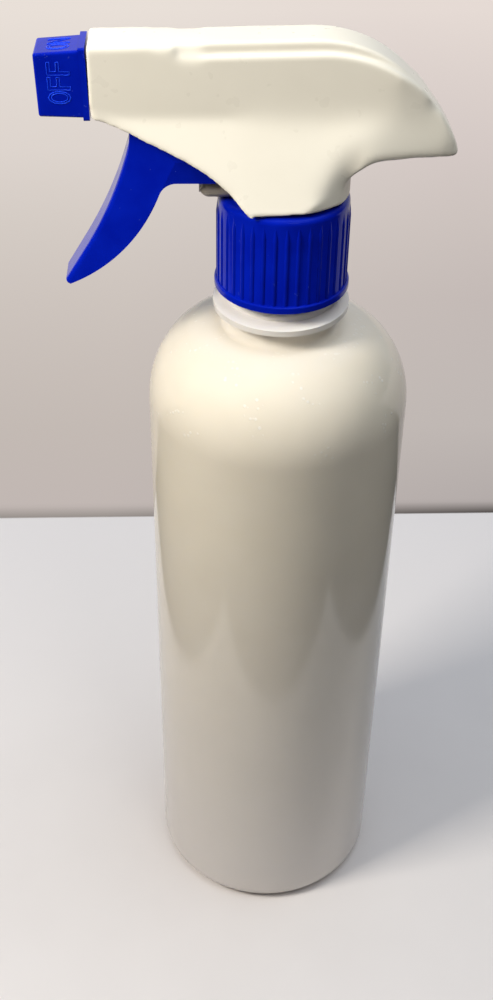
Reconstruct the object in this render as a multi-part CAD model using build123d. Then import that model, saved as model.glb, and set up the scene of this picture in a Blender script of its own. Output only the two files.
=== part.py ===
from build123d import *
import os
from math import cos, radians, sin, sqrt, tan

# Trigger spray bottle: a round 500 ml PET bottle with a 28/410 trigger sprayer.
# Millimetres. The origin is the centre of the bottle's foot, +Z is up along the bottle's axis
# and the nozzle points along -X.

# ---- Fits ----
running_fit = 0.08  # radial clearance where one piece turns or slides in another
seat_fit = 0.05  # radial clearance where one piece is pushed into another
body_gap = 0.3  # air between pieces that move past each other

# ---- Bottle ----
bottle_radius = 32.8
bottle_wall = 0.9
heel_radius = 5.4
foot_width = 3.4
foot_thickness = 1.6
push_up = 3.0
shoulder_start_z = 171.0
shoulder_rise = 21.5
neck_foot_radius = 15.0
neck_radius = 13.3
ring_radius = 16.5
ring_bottom_z = 197.7
ring_rim = 1.4
ring_cone_rise = 0.8
neck_collar_rise = 4.2
finish_radius = 12.53
mouth_bore_radius = 10.85

# ---- Screw thread of the neck finish ----
thread_radius = 13.7
thread_pitch = 4.23
thread_root_width = 2.2
thread_crest_width = 1.0
thread_clearance = 0.25
neck_thread_turns = 1.75
neck_thread_start_z = 208.5
closure_thread_turns = 2.0
thread_sink = 0.3

# ---- Closure ----
closure_bottom_z = 203.4
closure_top_z = 226.8
closure_radius = 15.35
closure_plate = 2.0
closure_rim_round = 1.0
closure_flange_radius = 16.17
closure_flange_height = 1.8
closure_hole_radius = 9.0
rib_count = 36
rib_radius = 0.6
rib_proud = 0.45

# ---- Pump body below the closure plate ----
flange_radius = 13.2
flange_thickness = 3.0
gasket_thickness = 2.0
gasket_bore_radius = 9.6

# ---- Pump body above the closure ----
saddle_gap = 0.4
saddle_radius = 12.0
saddle_thickness = 1.6
barrel_bore_radius = 4.8
barrel_wall = 1.1
barrel_mouth_x = -19.6
barrel_end_x = -4.6
barrel_lip_round = 2.6
port_radius = 1.5
riser_radius = 5.0
riser_step_z = 243.0
riser_upper_radius = 4.0
riser_rise = 4.75  # riser's top over the nose's axis
web_thickness = 1.8
web_front_x = -16.0

# ---- Inlet valve and dip tube ----
retainer_radius = 3.55
retainer_collar_radius = 5.5
retainer_collar_thickness = 2.0
retainer_top_z = 229.4
retainer_bottom_z = 211.0
tube_radius = 2.0
tube_bore_radius = 1.3
tube_depth = 9.8
tube_foot_z = 6.8
inlet_ball_radius = 2.0
inlet_seat_radius = 1.3
inlet_seat_z = 225.0
ball_cage_clearance = 0.35
seat_lift = 0.03

# ---- Outlet valve ----
throat_radius = 1.2
outlet_seat_z = 238.2
outlet_bore_radius = 2.4
outlet_ball_radius = 1.8
plug_stem_length = 2.0
plug_head_radius = 3.4
plug_head_thickness = 1.2
outlet_wire_radius = 0.16
outlet_coil_radius = 1.7
outlet_coils = 7

# ---- Piston and its spring ----
piston_stroke = 7.6
lip_width = 0.9
piston_head_length = 4.6
piston_waist_radius = 4.2
piston_rod_radius = 3.9
piston_rod_length = 6.8
piston_pocket_radius = 3.1
piston_crown = 2.2
spring_wire_radius = 0.35
spring_coil_radius = 2.5
spring_coils = 8

# ---- Nose and nozzle ----
nose_dip = 1.3  # degrees: the nose points slightly down
nose_z = 253.65
discharge_bore_radius = 1.1
discharge_tube_radius = 2.6
nose_radius = 3.5
nose_length = 6.6
nose_root = 3.0
snap_rim_proud = 0.25
snap_rim_start = 3.2
snap_rim_width = 1.0
core_radius = 2.2
core_length = 4.8
core_proud = 1.1
core_slot_width = 0.6
core_slot_depth = 0.5
nozzle_back_gap = 0.25
nozzle_flange_width = 11.0
nozzle_flange_height = 16.0
nozzle_flange_thickness = 1.4
nozzle_back_width = 10.2
nozzle_back_height = 14.8
nozzle_front_width = 10.1
nozzle_front_height = 13.8
nozzle_front = 11.3
nozzle_edge_round = 0.6
nozzle_face = 3.2
orifice_radius = 0.4
nozzle_dimple_radius = 3.0
nozzle_dimple_depth = 1.6

# ---- Trigger ----
pivot_x = -31.0
pivot_rise = 4.25  # pivot over the nose's axis
pivot_radius = 1.5
pivot_pin_half = 4.4
eye_radius = 2.9
arm_half = 4.1
arm_thickness = 1.2
cheek_half = 7.4
cheek_thickness = 1.2
cheek_top_z = 237.0
arm_foot_z = 244.5
pad_radius = 3.2
pad_half = 1.5
trigger_toe = (-51.1, 206.5)
trigger_heel = (-50.1, 205.6)
trigger_front = (-34.9, 240.4)
grip_angle = 63.4  # degrees from the horizontal
grip_half = 4.2
grip_flare = 0.28  # growth of the half-width per mm of depth, front to back
grip_round = 1.4
toe_round = 0.3

# ---- Shroud ----
shroud_wall = 1.2
shroud_front_x = -42.95
shroud_half = 6.4
shroud_rise = 8.6  # crown's front over the nose's axis
crease_z = 246.7
crease_round = 6.0
skirt_half = 14.8
skirt_radius = 14.8
skirt_corner = (-8.6, 227.1)
skirt_back_z = 227.6
brow_start_z = 246.2
brow_bend = (-39.0, 245.15)
brow_knee = (-35.0, 243.5)
brow_angle = 24.3  # degrees: fall of the straight part of the lower front edge
brow_foot_x = -24.0
crown_start_x = 5.0
crown_radius = 30.0
crown_end_angle = 40.0
back_radius = 52.0
back_end_angle = 64.0
tail_under_z = 235.95
tail_rise_angle = 3.5
neck_cove_radius = 5.0
neck_cove_proud = 0.2  # the cove starts this far outside the round skirt
neck_blend_radius = 8.0
tail_taper_x = 10.0
tail_taper_half = 9.0
tail_taper_angle = 10.8
spine_half = 5.2
spine_taper_half = 3.9
spine_step_x = -24.3
ledge_drop = 2.6
ledge_end_x = 28.9
ledge_bow = 2.45
block_edge_round = 1.3
front_edge_round = 0.5
tail_edge_round = 1.0
spine_edge_round = 0.9

# ---- Heights and places that follow from the sizes above ----
plate_under_z = closure_top_z - closure_plate
flange_top_z = plate_under_z - body_gap
flange_under_z = flange_top_z - flange_thickness
gasket_under_z = flange_under_z - gasket_thickness
mouth_z = gasket_under_z - body_gap
ring_top_z = ring_bottom_z + ring_rim + ring_cone_rise
closure_bore_radius = thread_radius + thread_clearance
closure_crest_radius = finish_radius + thread_clearance
saddle_z = closure_top_z + saddle_gap
barrel_radius = barrel_bore_radius + barrel_wall
barrel_z = saddle_z + barrel_radius
nose_slope = tan(radians(nose_dip))
riser_top_z = nose_z + riser_rise
pivot_z = nose_z + pivot_rise
shroud_top_z = nose_z + shroud_rise
discharge_back_z = nose_z - shroud_front_x * nose_slope
inlet_ball_z = inlet_seat_z + sqrt(inlet_ball_radius**2 - inlet_seat_radius**2) + seat_lift
outlet_ball_z = outlet_seat_z + sqrt(outlet_ball_radius**2 - throat_radius**2) + seat_lift
plug_under_z = riser_top_z - plug_stem_length
piston_back_x = barrel_end_x - piston_stroke - 2 * seat_fit - 1.5
piston_shoulder_x = piston_back_x - piston_head_length
piston_front_x = piston_shoulder_x - piston_rod_length
nose_frame = Plane(
    origin=(shroud_front_x, 0, nose_z),
    x_dir=(0, -1, 0),
    z_dir=(-cos(radians(nose_dip)), 0, -sin(radians(nose_dip))),
)


def turned(*edges):
    """Solid of revolution about Z from outline edges drawn as (radius, height)."""
    return revolve(Plane.XZ * make_face(Curve() + list(edges)), Axis.Z)


def turned_polygon(*points):
    """Solid of revolution about Z from a closed polygon of (radius, height) points."""
    return turned(Polyline(*points, close=True))


def rod(radius, start, end):
    """Cylinder between two points."""
    axis = Vector(*end) - Vector(*start)
    return extrude(Plane(origin=start, z_dir=axis) * Circle(radius), amount=axis.length)


def slab(outline, half_width):
    """Side-view outline in (x, z), extruded to +-half_width in Y."""
    return extrude(Plane.XZ * make_face(outline), amount=half_width, both=True)


def block(low, high):
    """Axis-aligned box between two corners."""
    size = [high[i] - low[i] for i in range(3)]
    middle = [(high[i] + low[i]) / 2 for i in range(3)]
    return Pos(*middle) * Box(*size)


def thread_ridge(root_radius, crest_radius, start_z, turns):
    """Right-hand helical ridge from its root radius to its crest radius."""
    path = Helix(pitch=thread_pitch, height=turns * thread_pitch, radius=root_radius,
                 center=(0, 0, start_z))
    section = Plane(origin=path @ 0, x_dir=(1, 0, 0), z_dir=path % 0)
    outward = 1 if crest_radius > root_radius else -1
    sunk = -thread_sink * outward
    crest = crest_radius - root_radius
    profile = make_face(Polyline(
        (sunk, -thread_root_width / 2), (crest, -thread_crest_width / 2),
        (crest, thread_crest_width / 2), (sunk, thread_root_width / 2), close=True))
    return sweep(section * profile, path=path, is_frenet=True)


def coil_spring(wire_radius, coil_radius, coils, length):
    """Compression spring standing on z = 0, its wire centred one radius inside each end."""
    travel = length - 2 * wire_radius
    path = Helix(pitch=travel / coils, height=travel, radius=coil_radius,
                 center=(0, 0, wire_radius))
    section = Plane(origin=path @ 0, z_dir=path % 0) * Circle(wire_radius)
    return sweep(section, path=path, is_frenet=True)


def make_bottle():
    """Blown shell with the moulded neck finish, support ring and push-up base."""
    foot_outer = bottle_radius - heel_radius
    foot_inner = foot_outer - foot_width
    shoulder_top_z = shoulder_start_z + shoulder_rise
    neck_cove = neck_foot_radius - neck_radius
    collar_top_z = ring_top_z + neck_collar_rise
    outer = turned(
        ThreePointArc((0, push_up), (foot_inner / 2, push_up * 0.75), (foot_inner, 0)),
        Line((foot_inner, 0), (foot_outer, 0)),
        CenterArc((foot_outer, heel_radius), heel_radius, -90, 90),
        Line((bottle_radius, heel_radius), (bottle_radius, shoulder_start_z)),
        EllipticalCenterArc((neck_foot_radius, shoulder_start_z),
                            bottle_radius - neck_foot_radius, shoulder_rise),
        CenterArc((neck_foot_radius, shoulder_top_z + neck_cove), neck_cove, 180, 90),
        Polyline((neck_radius, shoulder_top_z + neck_cove), (neck_radius, ring_bottom_z),
                 (ring_radius, ring_bottom_z), (ring_radius, ring_bottom_z + ring_rim),
                 (neck_radius, ring_top_z), (neck_radius, collar_top_z),
                 (finish_radius, collar_top_z), (finish_radius, mouth_z),
                 (0, mouth_z), (0, push_up)),
    )
    inner_radius = bottle_radius - bottle_wall
    inner_top_z = shoulder_top_z - bottle_wall
    floor_z = foot_thickness
    inner = turned(
        ThreePointArc((0, push_up + floor_z), (foot_inner / 2, push_up * 0.75 + floor_z),
                      (foot_inner, floor_z)),
        Line((foot_inner, floor_z), (foot_outer, floor_z)),
        EllipticalCenterArc((foot_outer, heel_radius), heel_radius - bottle_wall,
                            heel_radius - floor_z, start_angle=-90, arc_size=90),
        Line((inner_radius, heel_radius), (inner_radius, shoulder_start_z)),
        EllipticalCenterArc((neck_foot_radius, shoulder_start_z),
                            inner_radius - neck_foot_radius, inner_top_z - shoulder_start_z),
        Polyline((neck_foot_radius, inner_top_z), (mouth_bore_radius, shoulder_top_z + neck_cove),
                 (mouth_bore_radius, mouth_z + 1), (0, mouth_z + 1), (0, push_up + floor_z)),
    )
    ridge = thread_ridge(finish_radius, thread_radius, neck_thread_start_z, neck_thread_turns)
    return outer + ridge - inner


def make_closure():
    """Ribbed screw collar with an internal thread and a plain flange at its foot."""
    flange_top = closure_bottom_z + closure_flange_height
    rim_radius = closure_radius + rib_proud
    skin = turned_polygon((0, closure_bottom_z), (closure_radius, closure_bottom_z),
                          (closure_radius, closure_top_z), (0, closure_top_z))
    first_rib = Pos(closure_radius + rib_proud - rib_radius, 0) * Circle(rib_radius)
    rib_plan = Sketch() + PolarLocations(0, rib_count) * first_rib
    ribs = extrude(rib_plan, amount=closure_top_z - flange_top)
    envelope = turned(
        Polyline((0, flange_top), (rim_radius, flange_top),
                 (rim_radius, closure_top_z - closure_rim_round)),
        CenterArc((rim_radius - closure_rim_round, closure_top_z - closure_rim_round),
                  closure_rim_round, 0, 90),
        Polyline((rim_radius - closure_rim_round, closure_top_z), (0, closure_top_z),
                 (0, flange_top)),
    )
    grip = (skin + Pos(0, 0, flange_top) * ribs) & envelope
    flange = turned_polygon((0, closure_bottom_z), (closure_flange_radius, closure_bottom_z),
                            (closure_flange_radius, flange_top), (0, flange_top))
    bore = turned_polygon((0, closure_bottom_z - 1), (closure_bore_radius, closure_bottom_z - 1),
                          (closure_bore_radius, plate_under_z), (0, plate_under_z))
    hole = rod(closure_hole_radius, (0, 0, plate_under_z - 1), (0, 0, closure_top_z + 1))
    ridge = thread_ridge(closure_bore_radius, closure_crest_radius,
                         neck_thread_start_z - thread_pitch / 2, closure_thread_turns)
    return grip + flange - bore - hole + ridge


def make_gasket():
    """Flat washer under the pump body's flange."""
    washer = Circle(flange_radius) - Circle(gasket_bore_radius)
    return Pos(0, 0, gasket_under_z) * extrude(washer, amount=gasket_thickness)


def nose_rod(radius, start, end):
    """Cylinder along the nose, between two distances ahead of the shroud's front."""
    return nose_frame * (Pos(0, 0, start) * extrude(Circle(radius), amount=end - start))


def make_pump_body():
    """Flange, saddle, barrel, riser, discharge tube, nose and trigger pivot in one moulding."""
    flange = rod(flange_radius, (0, 0, flange_under_z), (0, 0, flange_top_z))
    spigot = rod(closure_hole_radius - body_gap, (0, 0, flange_under_z), (0, 0, saddle_z))
    saddle = rod(saddle_radius, (0, 0, saddle_z), (0, 0, saddle_z + saddle_thickness))
    riser = rod(riser_radius, (0, 0, saddle_z), (0, 0, riser_step_z))
    riser += rod(riser_upper_radius, (0, 0, riser_step_z), (0, 0, riser_top_z))
    barrel = rod(barrel_radius, (barrel_mouth_x, 0, barrel_z), (0, 0, barrel_z))
    cradle = block((barrel_mouth_x, -barrel_radius, saddle_z), (0, barrel_radius, barrel_z))
    cradle = fillet(cradle.edges().group_by(Axis.Z)[0].filter_by(Axis.X), barrel_lip_round)
    cradle = fillet(cradle.edges().group_by(Axis.X)[0].group_by(Axis.Z)[0], barrel_lip_round * 0.9)
    web = block((web_front_x, -web_thickness / 2, barrel_z), (0, web_thickness / 2, nose_z))
    tube = rod(discharge_tube_radius, (0, 0, discharge_back_z), (shroud_front_x, 0, nose_z))
    nose = nose_rod(nose_radius, -nose_root, nose_length)
    rim = nose_rod(nose_radius + snap_rim_proud, snap_rim_start, snap_rim_start + snap_rim_width)
    pin = rod(pivot_radius, (pivot_x, -pivot_pin_half, pivot_z), (pivot_x, pivot_pin_half, pivot_z))
    pin_web = block((pivot_x - pivot_radius, -discharge_tube_radius, nose_z),
                    (pivot_x + pivot_radius, discharge_tube_radius, pivot_z))
    body = flange + spigot + saddle + riser + barrel + cradle + web + tube + nose + rim
    body = body + pin + pin_web

    bore_x = Vector(barrel_mouth_x - 1, 0, barrel_z)
    body -= rod(barrel_bore_radius, bore_x, (barrel_end_x, 0, barrel_z))
    body -= rod(port_radius, (barrel_end_x - 1, 0, barrel_z), (0, 0, barrel_z))
    body -= rod(retainer_radius + seat_fit, (0, 0, flange_under_z - 1), (0, 0, retainer_top_z))
    body -= rod(port_radius, (0, 0, retainer_top_z - 1), (0, 0, barrel_z + port_radius))
    body -= rod(throat_radius, (0, 0, barrel_z), (0, 0, outlet_seat_z + 1))
    body -= rod(outlet_bore_radius, (0, 0, outlet_seat_z), (0, 0, riser_top_z + 1))
    body -= rod(discharge_bore_radius, (0, 0, discharge_back_z), (shroud_front_x, 0, nose_z))
    body -= nose_rod(discharge_bore_radius, -nose_root, nose_length)
    body -= nose_rod(core_radius + seat_fit, nose_length + core_proud - core_length,
                     nose_length + 1)
    return body


def make_tube_retainer():
    """Insert that grips the dip tube and forms the inlet seat and the ball's cage."""
    collar_z = flange_under_z - retainer_collar_thickness
    shank_radius = retainer_radius - 0.25
    body = rod(shank_radius, (0, 0, retainer_bottom_z), (0, 0, collar_z))
    body += rod(retainer_collar_radius, (0, 0, collar_z), (0, 0, flange_under_z))
    body += rod(retainer_radius, (0, 0, flange_under_z), (0, 0, retainer_top_z))
    tube_top_z = retainer_bottom_z + tube_depth
    cage_radius = inlet_ball_radius + ball_cage_clearance
    body -= rod(tube_radius + seat_fit, (0, 0, retainer_bottom_z - 1), (0, 0, tube_top_z))
    body -= rod(inlet_seat_radius, (0, 0, tube_top_z - 1), (0, 0, inlet_seat_z + 1))
    body -= rod(cage_radius, (0, 0, inlet_seat_z), (0, 0, retainer_top_z + 1))
    return body


def make_dip_tube():
    """Straight tube from the retainer to just above the base, cut square."""
    top_z = retainer_bottom_z + tube_depth - seat_fit
    tube = rod(tube_radius, (0, 0, tube_foot_z), (0, 0, top_z))
    return tube - rod(tube_bore_radius, (0, 0, tube_foot_z - 1), (0, 0, top_z + 1))


def make_inlet_ball():
    return Pos(0, 0, inlet_ball_z) * Sphere(inlet_ball_radius)


def make_outlet_ball():
    return Pos(0, 0, outlet_ball_z) * Sphere(outlet_ball_radius)


def make_outlet_spring():
    """Light spring between the outlet ball and the body plug."""
    foot_z = outlet_ball_z + sqrt(outlet_ball_radius**2 - outlet_coil_radius**2) + outlet_wire_radius
    length = plug_under_z - foot_z - seat_fit
    return Pos(0, 0, foot_z) * coil_spring(outlet_wire_radius, outlet_coil_radius,
                                           outlet_coils, length)


def make_body_plug():
    """Stopper in the top of the riser bore."""
    plug = rod(outlet_bore_radius - seat_fit, (0, 0, plug_under_z), (0, 0, riser_top_z))
    head_top = riser_top_z + plug_head_thickness
    return plug + rod(plug_head_radius, (0, 0, riser_top_z), (0, 0, head_top))


def make_piston():
    """Hollow piston: a head with two lips, and a rod that the trigger pushes."""
    lip_radius = barrel_bore_radius - running_fit
    spans = [
        (piston_rod_radius, piston_front_x, piston_shoulder_x),
        (lip_radius, piston_shoulder_x, piston_shoulder_x + lip_width),
        (piston_waist_radius, piston_shoulder_x, piston_back_x),
        (lip_radius, piston_back_x - lip_width, piston_back_x),
    ]
    piston = Part()
    for radius, front, back in spans:
        piston += rod(radius, (front, 0, barrel_z), (back, 0, barrel_z))
    front_face = piston.faces().sort_by(Axis.X)[0]
    piston = fillet(front_face.edges(), lip_width)
    pocket_x = piston_front_x + piston_crown
    return piston - rod(piston_pocket_radius, (pocket_x, 0, barrel_z),
                        (piston_back_x + 1, 0, barrel_z))


def make_piston_spring():
    """Return spring from the bottom of the piston's pocket to the end of the barrel."""
    pocket_x = piston_front_x + piston_crown
    length = barrel_end_x - pocket_x - 2 * seat_fit
    spring = coil_spring(spring_wire_radius, spring_coil_radius, spring_coils, length)
    return Pos(pocket_x + seat_fit, 0, barrel_z) * Rot(0, 90, 0) * spring


def make_swirl_core():
    """Plug in the end of the nose with slots that spin the liquid."""
    start = nose_length + core_proud - core_length
    end = nose_length + core_proud
    core = nose_rod(core_radius, start, end)
    core -= nose_rod(discharge_bore_radius, start - 1, end - core_slot_depth * 2)
    slot = Box(core_slot_width, 3 * core_radius, core_slot_depth)
    for turn in (0, 90):
        core -= nose_frame * (Pos(0, 0, end - core_slot_depth / 2) * Rot(0, 0, turn) * slot)
    return core


def make_nozzle_cap():
    """Tapered rectangular cap that turns on the nose, with a flange round its back."""
    flange_front = nozzle_back_gap + nozzle_flange_thickness
    flange = Pos(0, 0, nozzle_back_gap) * extrude(
        Rectangle(nozzle_flange_width, nozzle_flange_height), amount=nozzle_flange_thickness)
    flange = fillet(flange.edges().filter_by(Axis.Z), nozzle_edge_round)
    cap = loft([
        Pos(0, 0, flange_front) * Rectangle(nozzle_back_width, nozzle_back_height),
        Pos(0, 0, nozzle_front) * Rectangle(nozzle_front_width, nozzle_front_height),
    ])
    back_face = cap.faces().sort_by(Axis.Z)[0]
    cap = fillet(cap.edges() - back_face.edges(), nozzle_edge_round)
    cap = flange + cap
    bore_radius = nose_radius + running_fit
    groove_radius = bore_radius + snap_rim_proud
    bore_end = nozzle_front - nozzle_face
    cap -= extrude(Circle(bore_radius), amount=bore_end)
    groove_start = snap_rim_start - running_fit
    groove_width = snap_rim_width + 2 * running_fit
    cap -= Pos(0, 0, groove_start) * extrude(Circle(groove_radius), amount=groove_width)
    cap -= extrude(Circle(orifice_radius), amount=nozzle_front)
    dimple = Pos(0, 0, nozzle_front - nozzle_dimple_depth)
    cap -= dimple * extrude(Circle(nozzle_dimple_radius), amount=nozzle_dimple_depth)
    return nose_frame * cap


def trigger_outline():
    """Side view of the trigger: eye, arms, cheeks and the curved grip, front edge first."""
    eye_front = (pivot_x - eye_radius, pivot_z)
    grip_front = ThreePointArc(trigger_front, (-39.4, 227.4), (-46.3, 214.2))
    return Curve() + [
        Line(eye_front, trigger_front),
        grip_front,
        TangentArc(grip_front @ 1, trigger_toe, tangent=grip_front % 1),
        ThreePointArc(trigger_toe, (-50.8, 205.85), trigger_heel),
        ThreePointArc(trigger_heel, (-40.2, 212.4), (-28.4, 229.5)),
        ThreePointArc((-28.4, 229.5), (-26.9, 231.3), (-24.6, 232.0)),
        Polyline((-24.6, 232.0), (-15.8, 232.0), (-15.8, 233.3), (-20.5, 236.2),
                 (-28.0, 247.0), (pivot_x + eye_radius, pivot_z)),
        CenterArc((pivot_x, pivot_z), eye_radius, 0, 180),
    ]


def trigger_hollow():
    """Side view of the room between the trigger's side walls, behind its front web."""
    return Curve() + [
        Polyline((pivot_x - 12, pivot_z + 12), (pivot_x - 12, 252.0), (-34.1, 246.0),
                 (-33.2, 240.8)),
        ThreePointArc((-33.2, 240.8), (-37.8, 226.8), (-44.8, 213.3)),
        Polyline((-44.8, 213.3), (-48.6, 208.4), (-47.6, 202.0), (0, 202.0),
                 (0, pivot_z + 12), (pivot_x - 12, pivot_z + 12)),
    ]


def trigger_section(inset):
    """Front view of the trigger, moved in by inset: wide cheeks below, narrow arms above."""
    low_z = trigger_heel[1] - 5
    high_z = pivot_z + eye_radius + 5
    cheek = cheek_half - (cheek_thickness if inset else 0)
    arm = arm_half - (arm_thickness if inset else 0)
    points = [(cheek, low_z), (cheek, cheek_top_z), (arm, arm_foot_z), (arm, high_z)]
    mirrored = [(-y, z) for y, z in reversed(points)]
    face = Plane.YZ * make_face(Polyline(*points, *mirrored, close=True))
    return extrude(face, amount=80, both=True)


def grip_wedge(inset):
    """Prism along the grip: narrow at the finger side, widening towards the back."""
    front = grip_half - (cheek_thickness if inset else 0)
    depth = 60.0
    ahead = 0.8
    points = [(-30.0, front), (-ahead, front), (depth, front + (depth + ahead) * grip_flare)]
    mirrored = [(x, -y) for x, y in reversed(points)]
    along = Vector(-cos(radians(grip_angle)), 0, -sin(radians(grip_angle)))
    back = Vector(sin(radians(grip_angle)), 0, -cos(radians(grip_angle)))
    plane = Plane(origin=(trigger_front[0], 0, trigger_front[1]), x_dir=back, z_dir=along)
    profile = plane * make_face(Polyline(*points, *mirrored, close=True))
    return extrude(profile, amount=80, both=True)


def make_trigger():
    """Curved channel lever: a front web between two side walls, hung on the pivot pin."""
    lever = slab(trigger_outline(), cheek_half) & grip_wedge(inset=False)
    finger_side = lever.faces().filter_by(
        lambda f: f.normal_at().X < -0.5 and trigger_toe[1] < f.center().Z < trigger_front[1])
    long_edges = ShapeList([e for f in finger_side for e in f.edges()]).filter_by(
        lambda e: abs(e.center().Y) > 1)
    lever = fillet(long_edges, grip_round)
    toe_edges = lever.edges().filter_by(
        lambda e: abs(e.center().Y) < 0.1 and e.center().Z < trigger_toe[1] + 0.1)
    lever = fillet(toe_edges, toe_round) & trigger_section(inset=False)
    room = slab(trigger_hollow(), cheek_half) & trigger_section(inset=True)
    lever -= room & grip_wedge(inset=True)
    pad_x = piston_front_x - body_gap - pad_radius
    pad = rod(pad_radius, (pad_x, -pad_half, barrel_z), (pad_x, pad_half, barrel_z))
    pad += block((-45.0, -pad_half, barrel_z - pad_radius), (pad_x, pad_half, barrel_z + pad_radius))
    pad &= slab(trigger_outline(), cheek_half)
    eye = rod(pivot_radius + running_fit, (pivot_x, -2 * arm_half, pivot_z),
              (pivot_x, 2 * arm_half, pivot_z))
    return lever + pad - eye


def heading(angle):
    """Unit vector at an angle in degrees below the +X direction, in side view."""
    return Vector(cos(radians(angle)), -sin(radians(angle)))


def arc_down(start, radius, from_angle, to_angle):
    """Arc that turns clockwise between two headings; returns the edge and its end point."""
    centre = start - radius * Vector(sin(radians(from_angle)), cos(radians(from_angle)))
    middle_angle = radians((from_angle + to_angle) / 2)
    middle = centre + radius * Vector(sin(middle_angle), cos(middle_angle))
    end = centre + radius * Vector(sin(radians(to_angle)), cos(radians(to_angle)))
    return ThreePointArc(start, middle, end), end


def crown_points(drop):
    """Start of the crown's arc, lowered by drop along its normal."""
    run = crown_start_x - shroud_front_x
    top = Vector(crown_start_x, shroud_top_z + run * nose_slope)
    return top - drop * Vector(-sin(radians(nose_dip)), cos(radians(nose_dip)))


def back_circle(inset):
    """Centre of the long arc down the back, with the arc's start and end points."""
    _, start = arc_down(crown_points(inset), crown_radius - inset, -nose_dip, crown_end_angle)
    radius = back_radius - inset
    centre = start - radius * Vector(sin(radians(crown_end_angle)), cos(radians(crown_end_angle)))
    end = centre + radius * Vector(sin(radians(back_end_angle)), cos(radians(back_end_angle)))
    return centre, start, end


def on_back(inset, x):
    """Point of the back's arc at a given X."""
    centre, _, _ = back_circle(inset)
    radius = back_radius - inset
    return Vector(x, centre.Y + sqrt(radius**2 - (x - centre.X)**2))


def top_line(inset, front_x):
    """Crown from front_x back to the end of the tail, as edges, and its first point."""
    crown = crown_points(inset)
    front = Vector(front_x, crown.Y - (crown.X - front_x) * nose_slope)
    crown_arc, crown_end = arc_down(crown, crown_radius - inset, -nose_dip, crown_end_angle)
    back_arc, _ = arc_down(crown_end, back_radius - inset, crown_end_angle, back_end_angle)
    return front, [Line(front, crown), crown_arc, back_arc]


def ledge_line(inset, front_x):
    """Ledge beside the spine: parallel to the crown, then a long arc that dies into the back."""
    start = crown_points(ledge_drop + inset)
    front = Vector(front_x, start.Y - (start.X - front_x) * nose_slope)
    end = on_back(inset, ledge_end_x)
    chord = end - start
    middle = start + chord * 0.5 + ledge_bow * Vector(-chord.Y, chord.X).normalized()
    _, _, back_end = back_circle(inset)
    below = on_back(inset, (end.X + back_end.X) / 2)
    return front, [Line(front, start), ThreePointArc(start, middle, end),
                   ThreePointArc(end, below, back_end)]


def shroud_outline(inset, top):
    """Side view of the whole shroud. Moved in by inset, it runs out past the open edges."""
    open_edge = 4.0 if inset else 0.0
    front_x = shroud_front_x + inset
    front_top, top_edges = top(inset, front_x)
    _, _, back_end = back_circle(inset)
    low_z = skirt_back_z - open_edge
    fall = back_end.Y - low_z
    tail_foot = back_end + Vector(fall / tan(radians(back_end_angle)), -fall)
    lowered = Vector(0, open_edge)
    brow_start = Vector(front_x, brow_start_z) - lowered
    bend = Vector(*brow_bend) - lowered
    knee = Vector(*brow_knee) - lowered
    foot_run = brow_foot_x - brow_knee[0]
    foot = knee + Vector(foot_run, -foot_run * tan(radians(brow_angle)))
    corner = Vector(*skirt_corner) - lowered
    return Curve() + top_edges + [
        Polyline(back_end, tail_foot, (2.0, low_z), corner),
        TangentArc(foot, corner, tangent=heading(brow_angle)),
        Line(knee, foot),
        ThreePointArc(brow_start, bend, knee),
        Line(brow_start, front_top),
    ]


def shroud_section(inset):
    """Front view: upright walls above the crease, leaning out to the skirt below it."""
    low_z = skirt_corner[1] - 6
    high_z = shroud_top_z + 10
    lean = (skirt_half - shroud_half) / (crease_z - skirt_corner[1])
    side = inset * sqrt(1 + lean**2)
    points = [
        (shroud_half + lean * (crease_z - low_z) - side, low_z),
        (shroud_half - inset, crease_z + (inset - side) / lean),
        (shroud_half - inset, high_z),
    ]
    mirrored = [(-y, z) for y, z in reversed(points)]
    section = Sketch() + make_face(Polyline(*points, *mirrored, close=True))
    creases = section.vertices().sort_by(Axis.Y)[2:4]
    section = fillet(creases, crease_round + inset)
    return extrude(Plane.YZ * section, amount=80, both=True)


def shroud_plan(inset):
    """Top view: open in front, round over the closure, narrowing towards the tail's end."""
    slope = tan(radians(tail_taper_angle))
    far_x = 50.0
    wide = 2 * skirt_radius
    half = tail_taper_half - inset
    tail = [(0, half + tail_taper_x * slope), (far_x, half - (far_x - tail_taper_x) * slope)]
    mirrored = [(x, -y) for x, y in reversed(tail)]
    plan = Sketch() + make_face(Polyline(*tail, *mirrored, close=True))
    plan += Circle(skirt_radius - inset)
    inner_corners = plan.vertices().filter_by(
        lambda v: abs(v.X) > 1 and Vector(v.X, v.Y).length < skirt_radius + 0.1)
    plan = fillet(inner_corners, neck_blend_radius + inset)
    plan += Pos(shroud_front_x / 2 - 5, 0) * Rectangle(-shroud_front_x + 10, wide)
    return Pos(0, 0, skirt_corner[1] - 6) * extrude(plan, amount=60)


def shroud_underside(inset):
    """Everything above the tail's underside, with the neck that stands over the closure."""
    radius = skirt_radius + neck_cove_proud - inset
    cove = neck_cove_radius + inset
    shelf_z = tail_under_z + inset
    rise = tan(radians(tail_rise_angle))
    low_z = skirt_corner[1] - 6
    high_z = shroud_top_z + 10
    start_x = shroud_front_x - 5
    end_x = 60.0
    neck = turned(
        Polyline((0, low_z), (radius, low_z), (radius, shelf_z - cove)),
        CenterArc((radius + cove, shelf_z - cove), cove, 180, -90),
        Polyline((radius + cove, shelf_z), (radius + cove, shelf_z + 3), (0, shelf_z + 3),
                 (0, low_z)),
    )
    above = slab(Polyline(
        (start_x, low_z), (0, low_z), (0, shelf_z), (radius + cove, shelf_z),
        (end_x, shelf_z + (end_x - radius - cove) * rise), (end_x, high_z), (start_x, high_z),
        close=True), 2 * skirt_radius)
    return neck + above


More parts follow.
